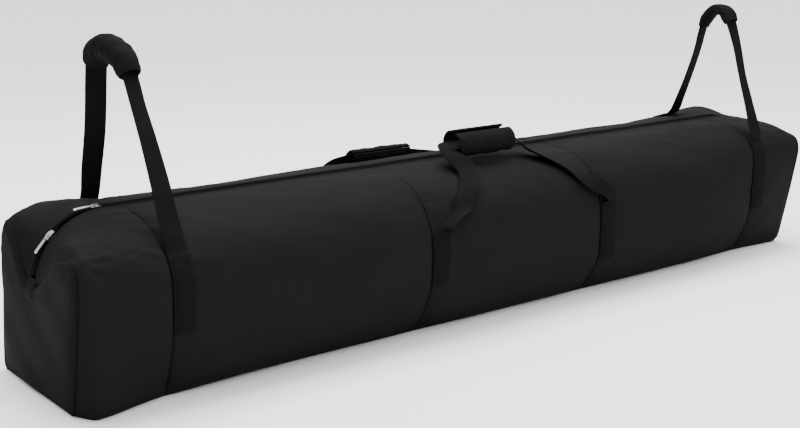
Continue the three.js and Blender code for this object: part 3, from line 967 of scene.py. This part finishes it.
def make_zip_cover():
    """The small cloth patch that is sewn over the zip's lower end, on the left end."""
    route = [[-948.6, 0, 207], [-950.9, 0, 201], [-954.6, 0, 192], [-956.9, 0, 182], [-957.9, 0, 172]]
    path, _ = curve(route, 2.0)
    y = np.linspace(-16, 16, 17)
    points = np.repeat(path[:, None], len(y), 1)
    points[..., 1] = y
    share = np.linspace(-1, 1, len(path))[:, None]
    points[..., 0] += 2.0 * np.maximum(np.abs(y)[None] / 16, np.abs(share)) ** 6
    points = points * MM
    patch = solid_sheet("zip_end_patch", points, points[..., 1:], 1.4, "shell_fabric", flip=False)
    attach(patch, "bag")


def finish_metal():
    for node in ("top_slider", "top_slider_pull", "end_slider", "end_slider_pull"):
        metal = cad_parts[node]
        metal.data.materials.clear()
        metal.data.materials.append(MATERIALS["slider_metal"])
        bevel = metal.modifiers.new("worn_edges", "BEVEL")
        bevel.width = 0.35 * MM
        bevel.segments = 2
        bevel.limit_method = "ANGLE"


# ---------------------------------------------------------------- padded grips


VOXEL, MOST_SWELL, PRESSURE, CLOTH_FRAMES = 2.6, 5.0, 4.0, 20


def stuff(made):
    """Blows the pad up a little as cloth over foam, then smooths it."""
    start = bpy.context.scene.frame_start
    bpy.context.view_layer.objects.active = made
    remesh = made.modifiers.new("even", "REMESH")
    remesh.mode = "VOXEL"
    remesh.voxel_size = VOXEL * MM
    bpy.ops.object.modifier_apply(modifier=remesh.name)
    count = len(made.data.vertices)
    before = np.empty(count * 3, np.float32)
    made.data.vertices.foreach_get("co", before)
    cloth = made.modifiers.new("cloth", "CLOTH")
    cloth.settings.use_pressure = True
    cloth.settings.uniform_pressure_force = PRESSURE
    cloth.settings.effector_weights.gravity = 0.0
    cloth.settings.quality = 5
    cloth.point_cache.frame_start = 1
    cloth.point_cache.frame_end = CLOTH_FRAMES
    scene = bpy.context.scene
    for step in range(1, CLOTH_FRAMES + 1):
        scene.frame_set(step)
    shown = made.evaluated_get(bpy.context.evaluated_depsgraph_get())
    after = np.empty(count * 3, np.float32)
    shown.data.vertices.foreach_get("co", after)
    made.modifiers.remove(cloth)
    scene.frame_set(start)
    move = (after - before).reshape(-1, 3)
    size = np.linalg.norm(move, axis=1, keepdims=True)
    move *= np.minimum(1, MOST_SWELL * MM / np.maximum(size, 1e-9))
    made.data.vertices.foreach_set("co", (before.reshape(-1, 3) + move).ravel())
    made.data.polygons.foreach_set("use_smooth", [True] * len(made.data.polygons))
    made.data.update()
    smooth = made.modifiers.new("smooth", "SUBSURF")
    smooth.levels = smooth.render_levels = 1
    bpy.ops.object.modifier_apply(modifier=smooth.name)


# the sleeves are drawn a little thin, and the cloth simulation fills them out
BEFORE_STUFFING = 0.93
# an open end's rings, as shifts along the strap and shares of the radius, from inside to the rim
TUCK = ((16, 0.62), (10, 0.72), (2.0, 0.80), (-1.5, 0.88), (-1.2, 0.96))


def make_sleeve(label):
    """The closed foam sleeve round a carry loop, with sunken open ends."""
    loop = LOOPS[label]
    x = loop["x"]
    side = np.array([1.0, 0, 0])
    centres, _ = curve([[x, y, z] for y, z in loop["grip"]], 3.0)
    tangent = unit(np.gradient(centres, axis=0))
    up = unit(np.cross(tangent, side))
    up[up[:, 2] < -0.2] *= -1
    count = len(centres)
    if up[count // 2, 2] < 0:
        up = -up
    t = np.linspace(0, 1, count)
    angle = np.linspace(0, 2 * math.pi, 48, endpoint=False)
    swell, widening = loop["swell"]
    grow = 1 - 0.16 * np.exp(-t * 14) - 0.16 * np.exp(-(1 - t) * 14)
    radius = loop["radius"] * BEFORE_STUFFING * (swell + widening * t) * grow
    uu, vv = np.meshgrid(t, angle, indexing="ij")
    crease = ripple(uu * 160, vv * 26, 61 if x < 0 else 67, (30, 46))
    inner_bend = 0.5 - 0.5 * np.sin(vv)
    r = radius[:, None] + 0.9 * crease + 0.8 * inner_bend * np.sin(uu * 46) * np.sin(math.pi * uu)
    r += 1.8 * np.exp(-(((vv - loop["flap_edge"]) / 0.05) ** 2))
    flat = 1 - (1 - loop["flatness"]) * np.abs(np.sin(angle))

    def ring(i, shift=0.0, shrink=1.0):
        """The sleeve's outline at place i, moved along the strap by shift and shrunk."""
        reach = r[i] * shrink
        wide = side * (np.cos(angle) * reach)[:, None]
        tall = up[i] * (np.sin(angle) * reach * flat)[:, None]
        return centres[i] + tangent[i] * shift + wide + tall

    rings = [ring(0, *tuck) for tuck in TUCK]
    rings += [ring(i) for i in range(count)]
    rings += [ring(count - 1, -shift, shrink) for shift, shrink in TUCK[::-1]]
    points = np.array(rings)
    faces = tube_faces(*points.shape[:2])
    sleeve = new_object(f"{label}_loop_sleeve", points.reshape(-1, 3) * MM, faces, None, "grip_fabric")
    stuff(sleeve)
    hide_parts(f"{label}_loop_grip")
    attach(sleeve, f"{label}_loop")


PAD_WALL = 5.0


def make_pad(name, node, body, axis, side, wide, thick, first, last, hinge_turn=None):
    """A curved foam pad with a bound rim, between two angles round an axis."""
    side = np.array(side, float)
    side /= np.linalg.norm(side)
    up = np.cross([1.0, 0, 0], side)
    turn = math.copysign(1, up[2])
    up *= turn
    u = np.linspace(axis[0][0], axis[-1][0], 54)
    angle = np.radians(np.linspace(first, last, 44))
    uu, aa = np.meshgrid(u, angle, indexing="ij")
    length = u[-1] - u[0]
    from_end = np.minimum(uu - u[0], u[-1] - uu)
    from_side = np.minimum(aa - angle[0], angle[-1] - aa) * (wide + thick) / 2
    border = np.minimum(from_end, from_side)
    rim = np.sqrt(np.clip(1 - (1 - np.clip(border / 2.2, 0, 1)) ** 2, 0.02, 1))
    wall_here = PAD_WALL * rim + 0.7 * (border < 8.0) * rim
    puff = np.sin(math.pi * np.clip((uu - u[0]) / length, 0, 1))
    puff += 0.7 * ripple(uu, aa * wide, 71 + len(name), (44, 40))
    puff = puff * np.clip(border / 12.0, 0, 1) - 0.9 * np.exp(-(((border - 8.5) / 1.4) ** 2))
    xs, ys, zs = zip(*axis)
    middle_y, middle_z = np.interp(uu, xs, ys), np.interp(uu, xs, zs)
    outer_wide, outer_thick = wide - PAD_WALL / 2, thick - PAD_WALL / 2

    def surface(lift):
        out, over = (outer_wide + lift) * np.cos(aa), (outer_thick + lift) * np.sin(aa)
        y = middle_y + side[1] * out + up[1] * over
        z = middle_z + side[2] * out + up[2] * over
        return np.stack([uu, y, z], -1)

    outer, inner = surface(wall_here / 2 + puff), surface(-wall_here / 2)
    if hinge_turn is not None:
        at, opened = math.radians(hinge_turn[0]), hinge_turn[1]
        pivot = np.array([0, axis[0][1], axis[0][2]])
        pivot = pivot + side * wide * math.cos(at) + up * thick * math.sin(at)
        a = math.radians(turn * opened)
        spin = np.array([[1, 0, 0], [0, math.cos(a), -math.sin(a)], [0, math.sin(a), math.cos(a)]])
        outer, inner = [(g - pivot) @ spin.T + pivot for g in (outer, inner)]
    rows, columns = outer.shape[:2]
    total = rows * columns
    faces = grid_faces(rows, columns) + grid_faces(rows, columns, start=total, flip=True)
    rim_loop = [(i, 0) for i in range(rows)] + [(rows - 1, j) for j in range(1, columns)]
    rim_loop += [(i, columns - 1) for i in range(rows - 2, -1, -1)]
    rim_loop += [(0, j) for j in range(columns - 2, 0, -1)]
    ids = [i * columns + j for i, j in rim_loop]
    for a_, b_ in zip(ids, ids[1:] + ids[:1]):
        faces.append((b_, a_, total + a_, total + b_))
    vertices = np.concatenate([outer.reshape(-1, 3), inner.reshape(-1, 3)]) * MM
    pad = new_object(name, vertices, faces, None, "grip_fabric")
    fix_normals(pad)
    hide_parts(node)
    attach(pad, body)


def fix_normals(made):
    mesh = bmesh.new()
    mesh.from_mesh(made.data)
    bmesh.ops.recalc_face_normals(mesh, faces=mesh.faces)
    mesh.to_mesh(made.data)
    mesh.free()


# each wrap's axis; "from" and "hinge" are where its flap begins and ends, in degrees round the axis
GRIPS = {
    "front": {
        "axis": [(-66, -62, 346), (86, -62, 346)],
        "side": (0, -1, 0), "wide": 26, "thick": 25, "from": 85, "hinge": 230, "open": 23.5,
    },
    "rear": {
        "axis": [(-160, 176, 290), (-4, 176, 289)],
        "side": (0, 0.66, -0.75), "wide": 27, "thick": 17, "from": -20, "hinge": 190, "open": 0,
    },
}


def make_grips():
    for label, grip in GRIPS.items():
        shape = grip["axis"], grip["side"], grip["wide"], grip["thick"]
        start, hinge = grip["from"], grip["hinge"]
        shell = f"{label}_grip_pad", f"{label}_grip_shell", f"{label}_handle"
        make_pad(*shell, *shape, hinge - 358, start - 2)
        flap = f"{label}_grip_wrap", f"{label}_grip_flap", f"{label}_flap"
        make_pad(*flap, *shape, start, hinge, (hinge, grip["open"]))


def make_stitching():
    """Thread: a crossed box at each end of the sewn webbing, and a row along each side of the zip."""
    boxes = []
    for loop in LOOPS.values():
        for side, (low, high) in ((-1, loop["sewn"]), (1, loop["rear_sewn"])):
            high = min(high, 270)
            boxes += box_stitch(WALLS[side], loop["x"], low + 3.5, low + 38)
            boxes += box_stitch(WALLS[side], loop["x"], high - 42, high - 6)
    for label, handle in HANDLES.items():
        half = WALLS[-1 if label == "front" else 1]
        for x, (low, high) in zip(HANDLE_FEET, handle["sewn"]):
            boxes += box_stitch(half, x, low + 3.5, low + 38)
            boxes += box_stitch(half, x, high - 40, high - 4)
    stitches("webbing_box_stitches", boxes, "bag")
    for label, half in (("front", WALLS[-1]), ("rear", WALLS[1])):
        rows = []
        length = half.cloth[:, -1, 1] / MM
        inside = (half.xs > -936) & (half.xs < 934)
        x = half.xs[inside]
        for back in (6.5, 13.0):
            rows.append((half.at(x, length[inside] - back, 0.25), np.array([0, 0.2 * half.side, 1.0])))
        stitches(f"{label}_zip_stitches", rows, "bag")


PIPE_ROWS, PIPE_RADIUS = 90, 1.9


def make_piping():
    """A narrow bound edge down each upright seam between a wall and an end."""
    angle = np.linspace(0, 2 * math.pi, 10, endpoint=False)
    place = np.arange(PIPE_ROWS)
    taper = np.sqrt(np.clip(np.minimum(place, place[::-1]) / 4.0, 0.15, 1))
    for name, side in (("front", -1), ("rear", 1)):
        for where, row, outward in (("left", 0, -1), ("right", -1, 1)):
            path = WALLS[side].points[row] / MM
            path = resample(path[: turn_row(path, 0.965) - 1], PIPE_ROWS)
            tangent = unit(np.gradient(path, axis=0))
            out = np.array([float(outward), side * 1.0, 0.0]) / math.sqrt(2)
            first = unit(out - tangent * (tangent @ out)[:, None])
            second = np.cross(tangent, first)
            around = first[:, None] * np.cos(angle)[None, :, None]
            around = around + second[:, None] * np.sin(angle)[None, :, None]
            rings = path[:, None] + first[:, None] * 0.6 + around * PIPE_RADIUS * taper[:, None, None]
            rings[..., 2] = np.maximum(rings[..., 2], 0.2)
            along = np.linspace(0, 0.28, PIPE_ROWS)
            cloth = np.stack(np.broadcast_arrays(angle[None] * 0.002, along[:, None]), -1).reshape(-1, 2)
            faces = tube_faces(*rings.shape[:2])
            vertices = rings.reshape(-1, 3) * MM
            tube = new_object(f"{where}_{name}_piping", vertices, faces, cloth, "zip_tape")
            fix_normals(tube)
            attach(tube, "bag")


make_camera()
make_studio()
WALLS = {-1: Half(-1), 1: Half(1)}
make_walls()
for where, row, outward, depth in (("left", 0, -1, 9.0), ("right", -1, 1, 1.5)):
    edges = WALLS[-1].points[row], WALLS[1].points[row]
    make_end(f"{where}_end_sheet", f"{where}_end_panel", *edges, outward, depth)
make_base()
for label in LOOPS:
    make_loop(label)
for label in HANDLES:
    make_handle_strap(label)
for label in LOOPS:
    make_sleeve(label)
make_grips()
make_zip()
make_zip_tab()
make_zip_cover()
make_stitching()
make_piping()
finish_metal()
